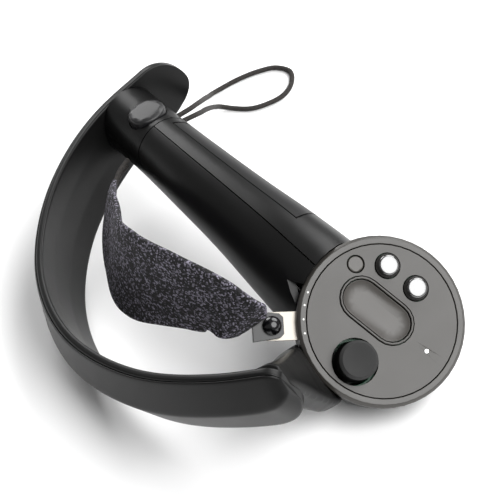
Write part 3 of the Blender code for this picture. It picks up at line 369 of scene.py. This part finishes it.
CORD_D = 1.7
CORD_ROUTE = [(13.2, 108.9, 34.6), (17.5, 107.9, 35.2), (22.0, 107.6, 35.2), (26.0, 109.0, 33.5),
              (31.9, 113.1, 28.5), (38.6, 118.9, 21.5), (45.7, 125.4, 13.5), (52.6, 131.5, 6.0),
              (57.3, 134.8, 2.0), (61.0, 135.4, 0.95), (69.8, 134.2, 0.95), (76.5, 132.2, 0.95),
              (82.0, 129.0, 0.95), (83.8, 124.6, 0.95), (80.2, 120.0, 0.95), (73.5, 117.4, 0.95),
              (66.8, 118.3, 0.95), (61.5, 120.6, 0.95), (57.0, 125.7, 0.95), (54.7, 127.7, 1.8),
              (49.6, 125.6, 6.5), (43.7, 121.0, 13.0), (37.4, 115.7, 20.0), (31.2, 110.7, 26.5),
              (26.0, 107.2, 31.0), (22.0, 105.6, 33.5), (17.5, 106.2, 33.8), (13.2, 107.5, 33.5)]
CORD_FROM = np.array([FACE_AT[0], FACE_AT[1], 0.0])


def tube(name, path, diameter, finish, nodes):
    """A round tube of 12 sides along path (points in metres), upright side kept up."""
    ahead = unit(np.gradient(path, axis=0))
    side = unit(np.cross(ahead, [0.0, 0.0, 1.0]))
    above = np.cross(side, ahead)
    angles = np.linspace(0.0, 2.0 * np.pi, 12, endpoint=False)[None, :, None]
    outwards = side[:, None] * np.cos(angles) + above[:, None] * np.sin(angles)
    rings = path[:, None] + outwards * diameter / 2.0
    return add_skin(name, rings, finish, "controller", nodes)


def add_draw_cord():
    """The draw cord's two strands, from the hole to the loop that lies on the table."""
    path = CORD_FROM + smooth_line(CORD_ROUTE, 240) * MM
    cord = tube("draw_cord_braid", path, CORD_D * MM, BRAID, ["draw_cord"])


add_draw_cord()


# ---------------------------------------------------------------- halo

HALO_TOP_EDGE = [(-110.5, 1.5, -66.6), (-108.8, -7.6, -67.5), (-103.2, -27.9, -69.7),
                 (-88.7, -54.5, -63.0), (-69.8, -72.8, -49.6), (-47.7, -81.7, -26.8),
                 (-26.0, -76.0, 1.7), (-12.4, -60.9, 26.3), (-5.4, -46.6, 38.2)]
HALO_DROP = unit(np.array([0.744, 0.347, -0.572]))
HALO_WIDTH = 25.0
HALO_LOBES = (10.0, 19.0)    # how long the upper and lower side take to round off at the handle, mm
NOSE_REACH = (5.0, 13.0)     # the same at the terminal
NOSE_CUT = (4.0, 12.0)       # how much of the width each loses there, mm
SPOON_WAIST, SPOON_REACH = 0.10, 18.0    # share the round end is drawn in, and over how many mm
THIN_START, THICK_AFTER = 0.35, 45.0     # share of the full thickness at the handle, and mm to reach it
THIN_END, THIN_BEFORE = 0.15, 7.0        # the same at the terminal
HALO_STATIONS = 190
HALO_ROUND = 96
HALO_CREST = 11.5            # how far down the cover its crest lies, mm
CREST_RISE, FOOT_RISE = 5.5, 1.2         # how far the crest and the lower edge stand out, mm
INNER_T = 2.6                # thickness of the inner shell, mm
COVER_BASE = 2.7             # where the cover starts, out from the inner face, mm


def quarter_round(share):
    """Height of a quarter circle, 0 to 1, at each share of the way along it; 1 past its end."""
    return np.sqrt(1.0 - np.clip(1.0 - share, 0.0, 1.0) ** 2)


def halo_skin(outline, rounds):
    """A band along the halo: outline(top, foot, keep, x) gives its corners (down, out) at each station.

    Its two sides close in an ellipse at the handle's end and are rounded off at the terminal; stations
    are closer together at both ends.
    """
    line = smooth_line(HALO_TOP_EDGE, 600)
    run = np.concatenate([[0.0], np.cumsum(np.linalg.norm(np.diff(line, axis=0), axis=1))])
    t = np.linspace(0.0, 1.0, HALO_STATIONS)
    x = run[-1] * (t - 0.95 * np.sin(2.0 * np.pi * t) / (2.0 * np.pi))
    edge = np.stack([np.interp(x, run, line[:, c]) for c in range(3)], axis=1)
    ahead = unit(np.stack([np.interp(x, run, g) for g in np.gradient(line, axis=0).T], axis=1))
    out = unit(np.cross(HALO_DROP, ahead))
    left = run[-1] - x
    half = HALO_WIDTH / 2.0
    spoon = 1.0 - SPOON_WAIST * np.exp(-((x - HALO_LOBES[0]) / SPOON_REACH) ** 2)
    top, foot = (0.02 + 0.98 * quarter_round(x / lobe) for lobe in HALO_LOBES)
    cut_top, cut_foot = (cut * (1.0 - quarter_round(left / reach))
                         for cut, reach in zip(NOSE_CUT, NOSE_REACH))
    top = half - half * top * spoon + cut_top
    foot = half + half * foot * spoon - cut_foot
    keep = THIN_START + (1.0 - THIN_START) * np.clip(x / THICK_AFTER, 0.0, 1.0)
    keep = keep * (THIN_END + (1.0 - THIN_END) * quarter_round(left / THIN_BEFORE))
    corners = np.stack([np.stack(pair, axis=-1) for pair in outline(top, foot, keep, x)], axis=1)
    flat = eased(corners, HALO_ROUND, rounds)
    rings = edge[:, None] + HALO_DROP * flat[..., :1] + out[:, None] * flat[..., 1:]
    return placed(rings)


def add_halo():
    """The inner shell, slightly hollow across, and the roof-shaped cover outside it."""
    def inner(top, foot, keep, x):
        third = (foot - top) / 3.0
        hollow = 0.6 * np.clip((x - 30.0) / 20.0, 0.0, 1.0)
        face, back = np.zeros_like(x), np.full_like(x, INNER_T)
        return [(top, face), (top + third, hollow), (foot - third, hollow), (foot, face), (foot, back),
                (top, back)]

    def cover(top, foot, keep, x):
        base = np.full_like(x, COVER_BASE)
        crest = base + CREST_RISE * keep
        low = base + FOOT_RISE * keep
        at = top + (foot - top) * HALO_CREST / HALO_WIDTH
        return [(top, base), (top + 0.2, base + 0.6 * keep), (at, crest), (foot - 0.3, low), (foot, base)]

    rings = halo_skin(inner, 1)
    add_skin("halo_inner_skin", rings, SHELL, "controller", ["halo_inner_shell"])
    rings = halo_skin(cover, 3)
    add_skin("halo_cover_skin", rings, SHELL, "controller", ["halo_outer_cover"])


add_halo()


# ---------------------------------------------------------------- hand strap

STRAP_LINE = [(-19.0, -36.6, -1.6), (-23.0, -40.2, 2.2), (-29.3, -43.8, 2.9), (-38.9, -50.0, -3.3),
              (-48.4, -55.2, -14.3), (-55.8, -56.3, -26.7), (-64.3, -52.2, -38.2),
              (-71.9, -46.9, -47.9), (-77.8, -40.7, -53.6)]
STRAP_WIDTHS = [12.5, 22.0, 27.0, 32.0, 34.5, 35.0, 32.0, 24.0, 13.0]
STRAP_ACROSS = unit(np.array([-0.45, 0.18, 0.87]))
STRAP_T = 3.0
STRAP_STATIONS = 150
STITCH_IN, STITCH_W = 2.2, 0.5           # the stitched line's distance from the edge and width, mm
STITCH_PINCH = 0.22                      # share of the thickness the stitching takes away
SQUARENESS = 0.55                        # power that flattens the oval; 1 is a true oval


def strap_frames(count):
    """Middle line, half width, and the across and outward directions along the strap."""
    rows = np.hstack([np.array(STRAP_LINE), np.array(STRAP_WIDTHS)[:, None]])
    line = smooth_line(rows, count)
    ahead = unit(np.gradient(line[:, :3], axis=0))
    across = unit(STRAP_ACROSS - ahead * (ahead @ STRAP_ACROSS)[:, None])
    thick = np.cross(across, ahead)
    return line[:, :3], line[:, 3] / 2.0, across, thick


def add_strap():
    """The knit pad: a flat oval section, pinched a little way in from each edge by its stitching."""
    centre, half, across, thick = strap_frames(STRAP_STATIONS)
    angles = np.linspace(0.0, 2.0 * np.pi, 72, endpoint=False)[None, :]
    flat = np.sign(np.cos(angles)) * np.abs(np.cos(angles)) ** SQUARENESS
    tall = np.sign(np.sin(angles)) * np.abs(np.sin(angles)) ** SQUARENESS
    wide = half[:, None] * flat
    from_edge = half[:, None] - np.abs(wide)
    pinch = 1.0 - STITCH_PINCH * np.exp(-((from_edge - STITCH_IN) / STITCH_W) ** 2)
    share = np.linspace(0.0, 1.0, STRAP_STATIONS)[:, None]
    body = 0.5 + 0.5 * np.sqrt(np.clip(np.minimum(share, 1.0 - share) / 0.06, 0.0, 1.0))
    high = STRAP_T / 2.0 * tall * pinch * body
    rings = centre[:, None] + across[:, None] * wide[..., None] + thick[:, None] * high[..., None]
    strap = add_skin("hand_strap_knit", placed(rings), KNIT, None, ["hand_strap"])
    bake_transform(strap)


add_strap()


TIE_D = 1.6                  # thickness of the two short cords, mm


def add_strap_cords():
    """The two short cords that tie the strap's narrow end to the handle's end."""
    for name, lift in (("strap_cord_upper", 1.6), ("strap_cord_lower", -1.6)):
        points = np.array([(-79.0, -39.2, -55.6), (-82.0, -35.0, -58.6), (-84.4, -29.4, -62.2)])
        path = placed(smooth_line(points + STRAP_ACROSS * lift, 40))
        tube(name + "_braid", path, TIE_D * MM, BRAID, [name])


add_strap_cords()


MARK_R = 0.35                # radius of a mark, mm
MARKS_OUT = 25.1             # from the disc's centre to the marks, mm


def add_rim_marks():
    """Four white dots on the bezel beside the strap slider, standing 0.03 mm proud."""
    turns = np.radians([-140.1, -130.6, -120.5, -110.5])
    angles = np.linspace(0.0, 2.0 * np.pi, 16, endpoint=False)
    for number, turn in enumerate(turns, start=1):
        ring = MARK_R * np.stack([np.cos(angles), np.sin(angles)], axis=1)
        ring = ring + MARKS_OUT * np.array([np.cos(turn), np.sin(turn)])
        rings = np.stack([np.column_stack([ring, np.full(16, height)]) for height in (-0.05, 0.03)])
        add_skin(f"rim_mark_{number}", placed(rings), PAINT, "controller", [])


add_rim_marks()


# ---------------------------------------------------------------- floor and lights

def add_floor():
    """A plain pale table, much larger than the picture."""
    data = bpy.data.meshes.new("table_top")
    reach = 3.0
    corners = [(-reach, -reach, 0), (reach, -reach, 0), (reach, reach, 0), (-reach, reach, 0)]
    data.from_pydata(corners, [], [(0, 1, 2, 3)])
    floor = bpy.data.objects.new("table_top", data)
    bpy.context.scene.collection.objects.link(floor)
    floor.location.z = -0.0001
    data.materials.append(new_material("white_table", "f2f2f2", 0.7)[0])


def add_light(name, place, aim, size, power):
    """A round soft box at place, turned to aim."""
    data = bpy.data.lights.new(name, "AREA")
    data.shape = "DISK"
    data.size = size
    data.energy = power
    light = bpy.data.objects.new(name, data)
    bpy.context.scene.collection.objects.link(light)
    light.location = place
    light.rotation_euler = (Vector(aim) - Vector(place)).to_track_quat("-Z", "Y").to_euler()


def add_world(strength):
    """Even white light from everywhere."""
    world = bpy.data.worlds.new("studio")
    bpy.context.scene.world = world
    world.use_nodes = True
    back = world.node_tree.nodes["Background"]
    back.inputs["Color"].default_value = (1.0, 1.0, 1.0, 1.0)
    back.inputs["Strength"].default_value = strength


add_floor()
bpy.context.scene.view_settings.view_transform = "Standard"
add_world(0.36)
add_light("front", (0.07, -0.64, 0.76), (0.0, 0.0, 0.0), 0.90, 13.0)
add_light("key", (0.85, 0.05, 0.80), (0.0, 0.0, 0.0), 0.90, 12.0)
add_light("back", (0.30, 0.90, 0.60), (0.0, 0.0, 0.0), 0.6, 6.0)
